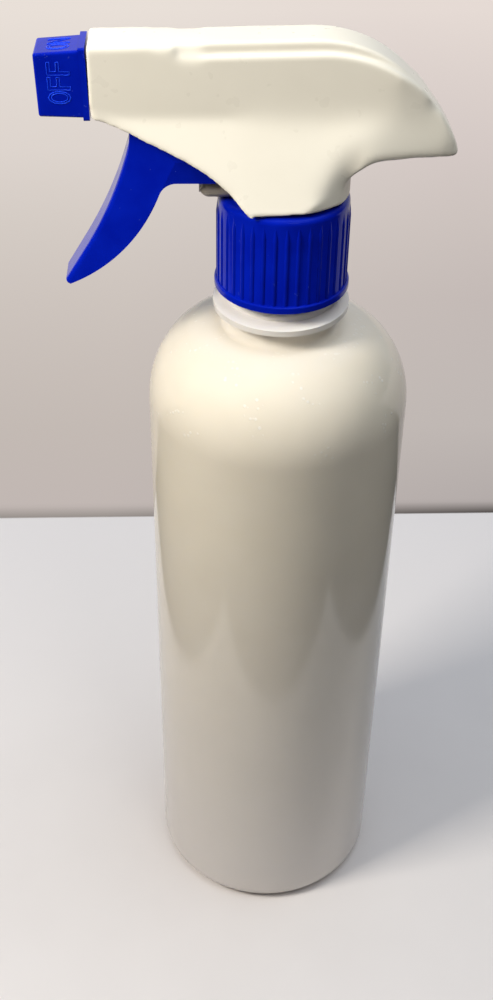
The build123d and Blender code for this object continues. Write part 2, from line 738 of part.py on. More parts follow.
def spine(inset):
    """Raised rib along the top, narrowing towards the tail."""
    half = spine_half - inset
    taper = Vector(ledge_end_x + 5, spine_taper_half - inset)
    taper_arc = TangentArc((crown_start_x, half), taper, tangent=(1, 0))
    front_x = spine_step_x - 3
    one_side = Curve() + [Line((front_x, half), (crown_start_x, half)), taper_arc]
    plan = one_side + mirror(one_side, Plane.XZ)
    plan += [Line((front_x, half), (front_x, -half)), Line(taper, (taper.X, -taper.Y))]
    bar = Pos(0, 0, crease_z) * extrude(make_face(plan), amount=60)
    return bar & slab(shroud_outline(inset, top_line), 2 * skirt_radius)


def shroud_form(inset, top):
    """Plain outer form of the shroud, or the room inside it when inset is the wall."""
    form = slab(shroud_outline(inset, top), 2 * skirt_radius) & shroud_section(inset)
    return form & shroud_plan(inset) & shroud_underside(inset)


def rims(form, radius):
    """Round the long edges where a form's top faces meet its sides."""
    top = form.faces().filter_by(lambda f: f.normal_at().Z > 0.3 and abs(f.normal_at().Y) < 0.1)
    edges = ShapeList([e for face in top for e in face.edges()])
    return fillet(edges.filter_by(lambda e: abs(e.center().Y) > 1), radius)


def tail_foot_edges(form):
    """Lower edges of the tail, from the neck's cove to the tip."""
    low = form.edges().filter_by_position(Axis.Z, tail_under_z - 3, tail_under_z + 1.5)
    low = low.filter_by_position(Axis.X, tail_taper_x + 2, 60)
    seam_half = spine_half - 0.2
    return low.filter_by(lambda e: abs(e.center().Y) > seam_half or e.center().X > ledge_end_x)


def in_front(form, x):
    """The part of a form ahead of a given X."""
    return form & block((shroud_front_x - 10, -40, 180), (x, 40, 300))


def behind(form, x):
    """The part of a form behind a given X."""
    return form & block((x, -40, 180), (80, 40, 300))


def make_shroud():
    """Snap-on cover: front block, raised spine, tail and a flared skirt, open below."""
    front = rims(in_front(shroud_form(0, top_line), spine_step_x), block_edge_round)
    front = fillet(front.faces().sort_by(Axis.X)[0].edges(), front_edge_round)
    back = rims(behind(shroud_form(0, ledge_line), spine_step_x), spine_edge_round)
    back = fillet(tail_foot_edges(back), tail_edge_round)
    outer = front + back + rims(spine(0), spine_edge_round)
    wall = shroud_wall
    inner = in_front(shroud_form(wall, top_line), spine_step_x - wall)
    inner = inner + behind(shroud_form(wall, ledge_line), spine_step_x - wall) + spine(wall)
    nose_hole = nose_rod(nose_radius + body_gap, -nose_root, 1)
    return outer - inner - nose_hole


def main():
    pieces = {
        "bottle": make_bottle,
        "closure": make_closure,
        "gasket": make_gasket,
        "pump_body": make_pump_body,
        "tube_retainer": make_tube_retainer,
        "dip_tube": make_dip_tube,
        "inlet_ball": make_inlet_ball,
        "outlet_ball": make_outlet_ball,
        "outlet_spring": make_outlet_spring,
        "body_plug": make_body_plug,
        "piston": make_piston,
        "piston_spring": make_piston_spring,
        "swirl_core": make_swirl_core,
        "nozzle_cap": make_nozzle_cap,
        "trigger": make_trigger,
        "shroud": make_shroud,
    }
    os.makedirs("parts", exist_ok=True)
    for name, make in pieces.items():
        export_step(make(), f"parts/{name}.step")


main()
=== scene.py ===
# %% [markdown]
# # Trigger spray bottle
# A half-litre plastic bottle with a screw-on pump head. Its cream bottle and cover are smooth
# mouldings, and its collar, trigger and nozzle are glossy blue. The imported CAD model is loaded
# as a fixed frame, and every piece made here is placed in that frame's coordinates.

# %% Load the frame
import math

import bmesh
import bpy
import numpy as np
from mathutils import Matrix, Vector
from mathutils.bvhtree import BVHTree


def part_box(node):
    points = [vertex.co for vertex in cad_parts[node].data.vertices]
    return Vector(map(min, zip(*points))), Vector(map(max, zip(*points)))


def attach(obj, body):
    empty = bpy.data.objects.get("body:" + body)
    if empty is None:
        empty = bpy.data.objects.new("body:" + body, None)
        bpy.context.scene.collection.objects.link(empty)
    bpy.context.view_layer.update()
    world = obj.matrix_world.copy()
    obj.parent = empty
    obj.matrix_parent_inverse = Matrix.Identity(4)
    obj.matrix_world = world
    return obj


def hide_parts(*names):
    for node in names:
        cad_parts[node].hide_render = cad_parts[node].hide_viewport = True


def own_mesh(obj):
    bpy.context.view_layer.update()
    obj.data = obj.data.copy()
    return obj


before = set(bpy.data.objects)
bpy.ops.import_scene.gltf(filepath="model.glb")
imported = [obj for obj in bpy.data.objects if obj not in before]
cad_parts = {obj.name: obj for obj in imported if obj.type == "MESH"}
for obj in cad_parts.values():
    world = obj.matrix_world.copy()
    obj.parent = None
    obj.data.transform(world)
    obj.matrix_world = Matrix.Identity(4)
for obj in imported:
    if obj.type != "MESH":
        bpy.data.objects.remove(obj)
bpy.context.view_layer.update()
MM = 0.001

# %% [markdown]
# ## Camera
# The bottle is seen from above and from close by, so upright lines lean together towards the
# foot. The camera is written as a place, three turns and a lens, and the turns are made into
# three axes by hand, because that says exactly what each one does.

# %% Camera
camera_place = Vector((-0.01992, -0.28410, 0.36272))
camera_yaw, camera_pitch, camera_roll = 0.0436, 0.6732, -0.0164
camera_lens = 48.15


def camera_axes(yaw, pitch, roll):
    """Right, up and backward axes of a camera turned by yaw, tipped down and rolled."""
    forward = Vector((math.sin(yaw) * math.cos(pitch), math.cos(yaw) * math.cos(pitch),
                      -math.sin(pitch)))
    level_right = Vector((math.cos(yaw), -math.sin(yaw), 0))
    level_down = forward.cross(level_right)
    right = math.cos(roll) * level_right + math.sin(roll) * level_down
    down = -math.sin(roll) * level_right + math.cos(roll) * level_down
    return right, -down, -forward


camera = bpy.data.objects.new("camera", bpy.data.cameras.new("camera"))
camera.matrix_world = Matrix.Translation(camera_place) @ Matrix(
    camera_axes(camera_yaw, camera_pitch, camera_roll)).transposed().to_4x4()
camera.data.lens = camera_lens
camera.data.clip_start = 0.01
bpy.context.scene.collection.objects.link(camera)
bpy.context.scene.camera = camera
print("camera at", tuple(round(v, 3) for v in camera_place), "lens", camera_lens, "mm")

# %% [markdown]
# ## Node helpers
# A moulded plastic is never one flat colour: its shade, its shine and its surface all vary a
# little. Every finish below says that with a small tree of nodes. The helpers add a node, set
# its inputs by name, link it, and make the noise, ramps and bumps that the finishes share.

# %% Node helpers


def add_node(tree, kind, links=(), **values):
    """Adds a node, sets inputs by name, and links (input, output) pairs."""
    node = tree.nodes.new(kind)
    for name, value in values.items():
        node.inputs[name].default_value = value
    for name, output in links:
        tree.links.new(output, node.inputs[name])
    return node


def new_finish(name):
    """An empty material with its output, its main shader and object coordinates."""
    material = bpy.data.materials.new(name)
    material.use_nodes = True
    tree = material.node_tree
    tree.nodes.clear()
    output = tree.nodes.new("ShaderNodeOutputMaterial")
    shader = tree.nodes.new("ShaderNodeBsdfPrincipled")
    tree.links.new(shader.outputs[0], output.inputs["Surface"])
    place = tree.nodes.new("ShaderNodeTexCoord").outputs["Object"]
    return material, tree, shader, place


def grain(tree, place, size_mm, detail=2.0):
    """Noise whose grains are about size_mm across."""
    return add_node(tree, "ShaderNodeTexNoise", [("Vector", place)],
                    Scale=1.0 / (size_mm * MM), Detail=detail).outputs["Fac"]


def blend_colours(tree, factor, first, second, low=0.3, high=0.7):
    """A colour ramp from first to second as factor goes from low to high."""
    ramp = add_node(tree, "ShaderNodeValToRGB", [("Fac", factor)])
    ramp.color_ramp.elements[0].position = low
    ramp.color_ramp.elements[0].color = (*first, 1)
    ramp.color_ramp.elements[1].position = high
    ramp.color_ramp.elements[1].color = (*second, 1)
    return ramp.outputs["Color"]


def value_range(tree, factor, low, high, from_low=0.3, from_high=0.7):
    """A number that runs from low to high as factor goes from from_low to from_high."""
    node = add_node(tree, "ShaderNodeMapRange", [("Value", factor)])
    for name, value in (("From Min", from_low), ("From Max", from_high),
                        ("To Min", low), ("To Max", high)):
        node.inputs[name].default_value = value
    return node.outputs["Result"]


def bump(tree, shader, height, depth_mm):
    """Bump from a height field of 0 to 1 that stands for depth_mm."""
    node = add_node(tree, "ShaderNodeBump", [("Height", height)])
    node.inputs["Strength"].default_value = 1.0
    node.inputs["Distance"].default_value = depth_mm * MM
    tree.links.new(node.outputs["Normal"], shader.inputs["Normal"])
    return node


# %% [markdown]
# ## Bottle finish
# The bottle is taken as blown PET: cream, glossy, and very slightly wavy, so reflections on it
# bend. Noise gives the cream a faint mottle, a slow bump gives the waviness, and stretched noise
# gives rub marks. The shoulder carries small dried drops, which are cells of a Voronoi texture
# kept only where a coarser noise is high; they are painted lighter, as a painted glint on each
# drop. The neck is whiter. Towards the foot the bottle is greyer and pinker, as painted shade
# and a painted reflection of the white mat.

# %% Bottle finish helpers


def object_axis(tree, place, axis):
    """One axis of the object coordinates, in metres."""
    return add_node(tree, "ShaderNodeSeparateXYZ", [("Vector", place)]).outputs[axis]


def multiply(tree, first, second):
    """Product of two numbers, each a socket or a constant."""
    node = tree.nodes.new("ShaderNodeMath")
    node.operation = "MULTIPLY"
    for socket, value in zip(node.inputs, (first, second)):
        if isinstance(value, (int, float)):
            socket.default_value = value
        else:
            tree.links.new(value, socket)
    return node.outputs[0]


def sum_of(tree, first, second):
    """Sum of two number sockets."""
    node = tree.nodes.new("ShaderNodeMath")
    node.operation = "ADD"
    tree.links.new(first, node.inputs[0])
    tree.links.new(second, node.inputs[1])
    return node.outputs[0]


def mixed(tree, factor, first, second):
    """Colour that runs from first to second as factor goes from 0 to 1."""
    node = tree.nodes.new("ShaderNodeMix")
    node.data_type = "RGBA"
    tree.links.new(factor, node.inputs["Factor"])
    for name, value in (("A", first), ("B", second)):
        socket = next(s for s in node.inputs if s.name == name and s.type == "RGBA")
        if isinstance(value, tuple):
            socket.default_value = (*value, 1)
        else:
            tree.links.new(value, socket)
    return next(s for s in node.outputs if s.type == "RGBA")


def stretched(tree, place, scale):
    """Object coordinates with each axis scaled by itself."""
    node = add_node(tree, "ShaderNodeMapping", [("Vector", place)])
    node.inputs["Scale"].default_value = scale
    return node.outputs[0]


def specks(tree, place, size_mm, share, spread_mm):
    """1 inside small round specks, of which only a share is kept, in loose clusters."""
    cell_over_speck, speck_full, speck_end = 3.2, 0.18, 0.3
    cells = add_node(tree, "ShaderNodeTexVoronoi", [("Vector", place)],
                     Scale=1.0 / (size_mm * cell_over_speck * MM))
    dot = value_range(tree, cells.outputs["Distance"], 1.0, 0.0, speck_full, speck_end)
    kept = value_range(tree, grain(tree, place, spread_mm), 0.0, 1.0, 1.0 - share,
                       1.02 - share)
    return multiply(tree, dot, kept)


# %% Bottle colour
neck_start, neck_full = 190.0 * MM, 196.5 * MM
foot_shade_full, foot_shade_end = 15.0 * MM, 150.0 * MM
bottle_cream, tree, shader, place = new_finish("bottle_cream")
height = object_axis(tree, place, "Z")
cream = blend_colours(tree, grain(tree, place, 22.0), (0.785, 0.71, 0.57), (0.825, 0.75, 0.61))
neck = value_range(tree, height, 0.0, 1.0, neck_start, neck_full)
cream = mixed(tree, neck, cream, (0.80, 0.76, 0.70))
# Painted shade and a painted reflection of the mat: greyer and pinker towards the foot.
foot = value_range(tree, height, 0.8, 0.0, foot_shade_full, foot_shade_end)
cream = mixed(tree, foot, cream, (0.66, 0.62, 0.59))
print("whiter neck above", neck_start, "greyer foot below", foot_shade_end)

# %% Drops on the shoulder, with painted glints
drops_start, drops_end = 170.0 * MM, 194.0 * MM
above = value_range(tree, height, 0.0, 1.0, drops_start, drops_start + 6.0 * MM)
below = value_range(tree, height, 1.0, 0.0, drops_end - 4.0 * MM, drops_end)
shoulder = multiply(tree, above, below)
drops_and_glints = multiply(tree, specks(tree, place, 0.5, 0.42, 9.0), shoulder)
# The drops are real, but painting them lighter is a painted glint on each of them.
cream = mixed(tree, multiply(tree, drops_and_glints, 0.35), cream, (0.97, 0.96, 0.92))
tree.links.new(cream, shader.inputs["Base Color"])
print("drops from", drops_start, "to", drops_end)

# %% Bottle shine and waviness
wave_depth_mm = ripple_depth_mm = 0.05
rub_depth_share = 0.04
rubs = grain(tree, stretched(tree, place, (1.0, 1.0, 0.06)), 1.2, 3.0)
rough = value_range(tree, rubs, 0.06, 0.11, 0.35, 0.7)
tree.links.new(rough, shader.inputs["Roughness"])
shader.inputs["IOR"].default_value = 1.54
shader.inputs["Subsurface Weight"].default_value = 0.08
shader.inputs["Subsurface Radius"].default_value = (1.0, 0.85, 0.6)
shader.inputs["Subsurface Scale"].default_value = 1.5 * MM
wave = bump(tree, shader, grain(tree, place, 26.0, 0.0), wave_depth_mm)
relief = sum_of(tree, drops_and_glints, multiply(tree, rubs, rub_depth_share))
ripple = bump(tree, shader, relief, ripple_depth_mm)
tree.links.new(wave.outputs["Normal"], ripple.inputs["Normal"])
print("bottle finish:", len(tree.nodes), "nodes")

# %% [markdown]
# ## Cover finish
# The cover is moulded polypropylene with a fine spark-eroded texture. It shines less than the
# bottle. Its roughness varies slowly, and its grain is half a millimetre across but only two
# micrometres deep, so it spreads the highlight instead of showing as bumps.

# %% Cover finish
cover_cream, tree, shader, place = new_finish("cover_cream")
cream = blend_colours(tree, grain(tree, place, 14.0), (0.86, 0.805, 0.67), (0.885, 0.83, 0.695))
tree.links.new(cream, shader.inputs["Base Color"])
tree.links.new(value_range(tree, grain(tree, place, 4.0), 0.27, 0.36),
               shader.inputs["Roughness"])
shader.inputs["IOR"].default_value = 1.49
bump(tree, shader, grain(tree, place, 0.5), 0.002)
print("cover finish:", len(tree.nodes), "nodes")

# %% [markdown]
# ## Blue finish
# Collar, trigger and nozzle are one deep blue, polished in the mould. Such a pigment is almost
# black in red and green, so the colour comes out right only if those two are near zero. A weak
# orange-peel bump breaks up the reflections, and a few pale dust specks sit on it. Thin raised
# letters catch more light than a flat wall does, so they get a lighter shade of the same blue.

# %% Blue finish


def blue_plastic(name, first, second, speckle):
    """The deep blue plastic between two close shades, with some pale dust."""
    material, tree, shader, place = new_finish(name)
    blue = blend_colours(tree, grain(tree, place, 7.0), first, second)
    dust = specks(tree, place, 0.16, 0.34, 3.0)
    blue = mixed(tree, multiply(tree, dust, speckle), blue, (0.3, 0.4, 0.85))
    tree.links.new(blue, shader.inputs["Base Color"])
    tree.links.new(value_range(tree, grain(tree, place, 2.5), 0.14, 0.22),
                   shader.inputs["Roughness"])
    shader.inputs["IOR"].default_value = 1.49
    shader.inputs["Specular Tint"].default_value = (0.4, 0.6, 1.0, 1)
    bump(tree, shader, grain(tree, place, 1.1), 0.006)
    return material


deep_blue = blue_plastic("deep_blue", (0.0005, 0.008, 0.34), (0.001, 0.012, 0.41), 0.12)
letter_blue = blue_plastic("letter_blue", (0.008, 0.05, 0.70), (0.012, 0.06, 0.78), 0.1)
print("blue finish:", len(deep_blue.node_tree.nodes), "nodes")

# %% [markdown]
# ## Finishes of the pump
# The pump's own mouldings are undyed plastic, which is milky. Their colour is darkened and
# warmed as painted shade, because they sit in the shadow of the trigger and the cover. The dip
# tube is a clearer plastic, the gasket is foam, and the springs and balls are bright steel. Each
# gets the same small tree with its own colours, shine and grain, because nothing more shows of
# them.

# %% Pump finishes


def moulded(name, first, second, rough_low, rough_high, grain_mm, depth_mm):
    """A plain moulded plastic: faint mottle, uneven shine and a fine surface grain."""
    material, tree, shader, place = new_finish(name)
    tree.links.new(blend_colours(tree, grain(tree, place, 5.0), first, second),
                   shader.inputs["Base Color"])
    tree.links.new(value_range(tree, grain(tree, place, 2.0), rough_low, rough_high),
                   shader.inputs["Roughness"])
    bump(tree, shader, grain(tree, place, grain_mm), depth_mm)
    return material


# Painted shade: the milky plastic is darkened, since these parts sit in the shadow of the
# trigger and cover.
natural_in_painted_shade = moulded("milky_painted_shade", (0.40, 0.35, 0.28), (0.46, 0.41, 0.34), 0.3, 0.42, 0.5, 0.004)
tube_clear = moulded("tube_clear", (0.72, 0.73, 0.72), (0.77, 0.78, 0.77), 0.2, 0.3, 1.0, 0.003)
seal_foam = moulded("seal_foam", (0.64, 0.64, 0.61), (0.72, 0.72, 0.68), 0.75, 0.9, 0.15, 0.03)
steel = moulded("steel", (0.55, 0.55, 0.56), (0.62, 0.62, 0.63), 0.18, 0.28, 0.2, 0.001)
steel.node_tree.nodes["Principled BSDF"].inputs["Metallic"].default_value = 1.0

finishes = {
    "bottle": bottle_cream, "shroud": cover_cream, "closure": deep_blue,
    "trigger": deep_blue, "nozzle_cap": deep_blue, "pump_body": natural_in_painted_shade,
    "tube_retainer": natural_in_painted_shade, "body_plug": natural_in_painted_shade, "swirl_core": natural_in_painted_shade,
    "piston": natural_in_painted_shade, "dip_tube": tube_clear, "gasket": seal_foam,
    "piston_spring": steel, "outlet_spring": steel, "inlet_ball": steel, "outlet_ball": steel,
}
for name, material in finishes.items():
    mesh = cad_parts[name].data
    mesh.materials.clear()
    mesh.materials.append(material)
print("finished nodes:", len(finishes))

# %% [markdown]
# ## Collar
# The collar is a screw cap: a shell that is turned about the bottle's axis, with 36 grip ribs.
# A shape that is turned follows a rule, and ribs repeat, so Geometry Nodes make both. A closed
# profile is swept round a circle, one rib is swept up a line and gets thinner near its top, and
# copies of the rib stand on the points of a circle. The thread is a round ridge along a helix.
# The profile comes in as a curve, and the sizes of path, ribs and thread are the tree's inputs.

# %% Collar sizes
collar_low, collar_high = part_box("closure")
collar_floor, collar_top = collar_low[2], collar_high[2]
flange_radius = collar_high[0]
flange_proud = 0.82 * MM
wall_radius = flange_radius - flange_proud
hole_radius = 9.0 * MM
bore_radius = 13.95 * MM
plate = 2.0 * MM
flange_height = 1.8 * MM
rib_count = 36
print("collar from", round(collar_floor, 4), "to", round(collar_top, 4), "radius",
      round(flange_radius, 5))

# %% Collar profile


def quarter(centre, radius, start_degrees, steps=6):
    """Points of a quarter circle in the radius-height plane, turning clockwise."""
    return [(centre[0] + radius * math.cos(math.radians(start_degrees - 90 * i / steps)),
             centre[1] + radius * math.sin(math.radians(start_degrees - 90 * i / steps)))
            for i in range(steps + 1)]


top_round = 1.5 * MM
lip_round = 0.45 * MM
foot_break = 0.2 * MM
flange_root = 0.1 * MM
flange_top = collar_floor + flange_height
profile = [(bore_radius, collar_floor), (bore_radius, collar_top - plate),
           (hole_radius, collar_top - plate), (hole_radius, collar_top)]
profile += quarter((wall_radius - top_round, collar_top - top_round), top_round, 90)
profile += [(wall_radius, flange_top + foot_break), (wall_radius + flange_root, flange_top)]
profile += quarter((flange_radius - lip_round, flange_top - lip_round), lip_round, 90)
profile += [(flange_radius, collar_floor + foot_break),
            (flange_radius - foot_break, collar_floor)]
print("collar profile:", len(profile), "points")

# %% Collar tree


def new_tree(name, inputs):
    """A Geometry Nodes tree with geometry in and out and further inputs of given kinds."""
    tree = bpy.data.node_groups.new(name, "GeometryNodeTree")
    tree.interface.new_socket("Geometry", in_out="INPUT", socket_type="NodeSocketGeometry")
    tree.interface.new_socket("Geometry", in_out="OUTPUT", socket_type="NodeSocketGeometry")
    for label, kind in inputs:
        tree.interface.new_socket(label, in_out="INPUT", socket_type=kind)
    return tree, tree.nodes.new("NodeGroupInput"), tree.nodes.new("NodeGroupOutput")


def set_inputs(modifier, values):
    """Sets a modifier's inputs by the identifier of the socket with each name."""
    for item in modifier.node_group.interface.items_tree:
        if item.in_out == "INPUT" and item.name in values:
            modifier[item.identifier] = values[item.name]


FLOAT, INT, MATERIAL = "NodeSocketFloat", "NodeSocketInt", "NodeSocketMaterial"
collar_tree, inputs, output = new_tree("turned_collar", [
    ("Path radius", FLOAT), ("Path steps", INT), ("Rib count", INT), ("Rib radius", FLOAT),
    ("Rib place", FLOAT), ("Rib foot", FLOAT), ("Rib top", FLOAT), ("Fade start", FLOAT),
    ("Thread radius", FLOAT), ("Thread ridge", FLOAT), ("Thread start", FLOAT),
    ("Thread rise", FLOAT), ("Thread turns", FLOAT), ("Finish", MATERIAL)])
link = collar_tree.links.new
add = collar_tree.nodes.new

# %% Turned shell
path = add("GeometryNodeCurvePrimitiveCircle")
link(inputs.outputs["Path radius"], path.inputs["Radius"])
link(inputs.outputs["Path steps"], path.inputs["Resolution"])
shell = add("GeometryNodeCurveToMesh")
link(path.outputs["Curve"], shell.inputs["Curve"])
link(inputs.outputs["Geometry"], shell.inputs["Profile Curve"])
print("the profile goes round a path and makes the shell:", len(collar_tree.nodes), "nodes")

# %% One grip rib
rib_steps, rib_sides, rib_end_share = 15, 14, 0.45
foot, top = add("ShaderNodeCombineXYZ"), add("ShaderNodeCombineXYZ")
link(inputs.outputs["Rib foot"], foot.inputs["Z"])
link(inputs.outputs["Rib top"], top.inputs["Z"])
rib_line = add("GeometryNodeCurvePrimitiveLine")
link(foot.outputs[0], rib_line.inputs["Start"])
link(top.outputs[0], rib_line.inputs["End"])
rib_points = add("GeometryNodeResampleCurve")
rib_points.inputs["Count"].default_value = rib_steps
link(rib_line.outputs[0], rib_points.inputs["Curve"])
along = add("GeometryNodeSplineParameter")
fade = add("ShaderNodeMapRange")
fade.interpolation_type = "SMOOTHSTEP"
fade.inputs["From Max"].default_value = 1.0
fade.inputs["To Min"].default_value = 1.0
fade.inputs["To Max"].default_value = rib_end_share
link(along.outputs["Factor"], fade.inputs["Value"])
link(inputs.outputs["Fade start"], fade.inputs["From Min"])
rib_round = add("GeometryNodeCurvePrimitiveCircle")
rib_round.inputs["Resolution"].default_value = rib_sides
link(inputs.outputs["Rib radius"], rib_round.inputs["Radius"])
rib = add("GeometryNodeCurveToMesh")
rib.inputs["Fill Caps"].default_value = True
link(rib_points.outputs[0], rib.inputs["Curve"])
link(rib_round.outputs["Curve"], rib.inputs["Profile Curve"])
link(fade.outputs["Result"], rib.inputs["Scale"])
print("one rib, thinner near its top:", len(collar_tree.nodes), "nodes")

# %% Ribs round the collar
ring = add("GeometryNodeMeshCircle")
link(inputs.outputs["Rib count"], ring.inputs["Vertices"])
link(inputs.outputs["Rib place"], ring.inputs["Radius"])
copies = add("GeometryNodeInstanceOnPoints")
link(ring.outputs["Mesh"], copies.inputs["Points"])
link(rib.outputs["Mesh"], copies.inputs["Instance"])
print("a rib on each point of a circle:", len(collar_tree.nodes), "nodes")

# %% Thread ridge
steps_per_turn, ridge_sides = 48, 10
helix = add("GeometryNodeCurveSpiral")
helix.inputs["Resolution"].default_value = steps_per_turn
link(inputs.outputs["Thread turns"], helix.inputs["Rotations"])
link(inputs.outputs["Thread radius"], helix.inputs["Start Radius"])
link(inputs.outputs["Thread radius"], helix.inputs["End Radius"])
link(inputs.outputs["Thread rise"], helix.inputs["Height"])
ridge_round = add("GeometryNodeCurvePrimitiveCircle")
ridge_round.inputs["Resolution"].default_value = ridge_sides
link(inputs.outputs["Thread ridge"], ridge_round.inputs["Radius"])
ridge = add("GeometryNodeCurveToMesh")
ridge.inputs["Fill Caps"].default_value = True
link(helix.outputs["Curve"], ridge.inputs["Curve"])
link(ridge_round.outputs["Curve"], ridge.inputs["Profile Curve"])
raised = add("GeometryNodeTransform")
lift = add("ShaderNodeCombineXYZ")
link(inputs.outputs["Thread start"], lift.inputs["Z"])
link(ridge.outputs["Mesh"], raised.inputs["Geometry"])
link(lift.outputs[0], raised.inputs["Translation"])
print("the thread is a helix with a round ridge:", len(collar_tree.nodes), "nodes")

# %% Joined result
joined = add("GeometryNodeJoinGeometry")
for part in (shell.outputs["Mesh"], copies.outputs["Instances"], raised.outputs["Geometry"]):
    link(part, joined.inputs["Geometry"])
real = add("GeometryNodeRealizeInstances")
link(joined.outputs[0], real.inputs["Geometry"])
dressed = add("GeometryNodeSetMaterial")
link(real.outputs[0], dressed.inputs["Geometry"])
link(inputs.outputs["Finish"], dressed.inputs["Material"])
link(dressed.outputs[0], output.inputs["Geometry"])
print("collar tree:", len(collar_tree.nodes), "nodes")

# %% Mesh helpers


def plain_mesh(source, name):
    """The evaluated result of an object as a new plain mesh object, the source removed."""
    graph = bpy.context.evaluated_depsgraph_get()
    mesh = bpy.data.meshes.new_from_object(source.evaluated_get(graph), depsgraph=graph)
    mesh.name = name
    bpy.data.objects.remove(source)
    piece = bpy.data.objects.new(name, mesh)
    bpy.context.scene.collection.objects.link(piece)
    return piece


def tidy_normals(mesh, sharp_degrees=32.0):
    """Merges doubles, turns every face outwards and shades smooth except over sharp edges."""
    work = bmesh.new()
    work.from_mesh(mesh)
    bmesh.ops.remove_doubles(work, verts=work.verts, dist=1e-7)
    bmesh.ops.recalc_face_normals(work, faces=work.faces)
    for face in work.faces:
        face.smooth = True
    for edge in work.edges:
        edge.smooth = len(edge.link_faces) == 2 and edge.calc_face_angle(0.0) < math.radians(
            sharp_degrees)
    work.to_mesh(mesh)
    work.free()


# %% Make the collar
path_radius = 15.0 * MM
outline = bpy.data.curves.new("collar_outline", "CURVE")
outline.dimensions = "3D"
spline = outline.splines.new("POLY")
spline.points.add(len(profile) - 1)
for point, (radius, z) in zip(spline.points, profile):
    point.co = (radius - path_radius, -z, 0, 1)
spline.use_cyclic_u = True
collar_source = bpy.data.objects.new("collar_source", outline)
bpy.context.scene.collection.objects.link(collar_source)
modifier = collar_source.modifiers.new("turned_collar", "NODES")
modifier.node_group = collar_tree
set_inputs(modifier, {
    "Path radius": path_radius, "Path steps": 180, "Rib count": rib_count,
    "Rib radius": 0.62 * MM, "Rib place": wall_radius - 0.28 * MM,
    "Rib foot": flange_top - 0.3 * MM, "Rib top": collar_top - 1.9 * MM, "Fade start": 0.86,
    "Thread radius": bore_radius, "Thread ridge": 0.7 * MM,
    "Thread start": collar_floor + 4.5 * MM, "Thread rise": 8.4 * MM, "Thread turns": 2.0,
    "Finish": deep_blue})
collar = plain_mesh(collar_source, "collar_ribbed")
tidy_normals(collar.data)
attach(collar, "closure")
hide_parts("closure")

# %% [markdown]
# ## Cover
# The cover is one thin moulded shell with soft transitions. The CAD solid has the right walls,
# but its side, its skirt and its tail meet in creases that the moulding doesn't have. So a
# merged copy is remeshed into even quads and pulled back onto the CAD surface. At the block's
# end and the tail, where the CAD is upright or pointed, its points are moved a millimetre or
# so. Then it is smoothed a little everywhere, and much more where the real shell is soft. The
# smoothing is written out with the edges as arrays, because that keeps control over how far
# each region is softened.

# %% Remesh a copy of the cover
quad_size = 0.385 * MM
cover_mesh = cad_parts["shroud"].data.copy()
work = bmesh.new()
work.from_mesh(cover_mesh)
bmesh.ops.remove_doubles(work, verts=work.verts, dist=1e-6)
cad_surface = BVHTree.FromBMesh(work)
work.to_mesh(cover_mesh)
work.free()
cover_source = bpy.data.objects.new("cover_source", cover_mesh)
bpy.context.scene.collection.objects.link(cover_source)
remesh = cover_source.modifiers.new("even_quads", "REMESH")
remesh.mode = "VOXEL"
remesh.voxel_size = quad_size
cover = plain_mesh(cover_source, "cover_shell")
mesh = cover.data
print("cover:", len(mesh.vertices), "vertices,", len(mesh.polygons), "quads")

# %% Pull the quads back onto the CAD surface
points = np.empty(len(mesh.vertices) * 3)
mesh.vertices.foreach_get("co", points)
points = points.reshape(-1, 3)
for index, point in enumerate(points):
    points[index] = cad_surface.find_nearest(Vector(point))[0]
edges = np.empty(len(mesh.edges) * 2, dtype=np.int64)
mesh.edges.foreach_get("vertices", edges)
edges = edges.reshape(-1, 2)
print("cover box:", points.min(axis=0).round(4), points.max(axis=0).round(4))

# %% Smoothing helpers


def step(value, start, end):
    """Smooth step from 0 at start to 1 at end."""
    share = np.clip((value - start) / (end - start), 0, 1)
    return share * share * (3 - 2 * share)


def soften(points, edges, weight, rounds, back=0.0):
    """Moves points towards the mean of their neighbours, weighted, a number of times. With
    back, each round also pushes out again, which smooths the surface without shrinking it."""
    count = len(points)
    ends = np.concatenate([edges[:, 0], edges[:, 1]])
    others = np.concatenate([edges[:, 1], edges[:, 0]])
    neighbours = np.bincount(ends, minlength=count)
    for pull in [0.5, -back] * rounds if back else [0.5] * rounds:
        mean = np.stack([np.bincount(ends, points[others, axis], minlength=count)
                         for axis in range(3)], axis=1) / neighbours[:, None]
        points = points + pull * weight[:, None] * (mean - points)
    return points


# %% Ledge and lower edge
x, y, z = (points / MM).T
spine_half_width = 5.4
# One column for each millimetre of the cover's length.
columns = np.arange(-44, 42)


def edge_along(pick, missing):
    """Height in mm, at every point's X, of the highest or lowest place beside the spine. A
    column that holds no such place is given the missing value, and is left out."""
    beside = np.abs(y) > spine_half_width
    found = np.array([pick(z[beside & (np.abs(x - column) < 1)], initial=missing)
                      for column in columns])
    return np.interp(x, columns[found != missing], found[found != missing])


ledge_z = edge_along(np.max, 0)
brow_z = edge_along(np.min, 999)
print("ledge from", ledge_z.min().round(1), "to", ledge_z.max().round(1), "mm, lower edge from",
      brow_z.min().round(1), "to", brow_z.max().round(1), "mm")

# %% Lean the block's end and the tail
# The heights and places are in millimetres, as x, y and z are here.
block_top_z, block_step = 260.0, 2.6
block_foot_back = 1.0 * MM
tail_lean = 0.24
tail_places, tail_lifts = [14, 20, 28.5, 34.5, 37.2, 40], [0.0, 1.1, 0.6, -0.2, -0.6, -0.6]

# The block's end slopes down to the ledge, so the foot of the step lies further back.
on_end = (np.clip((block_top_z - z) / block_step, 0, 1)
          * np.interp(x, [-31, -24.3, -14], [0, 1, 0]) * step(z, 254.5, 256.5))
points[:, 0] += block_foot_back * on_end
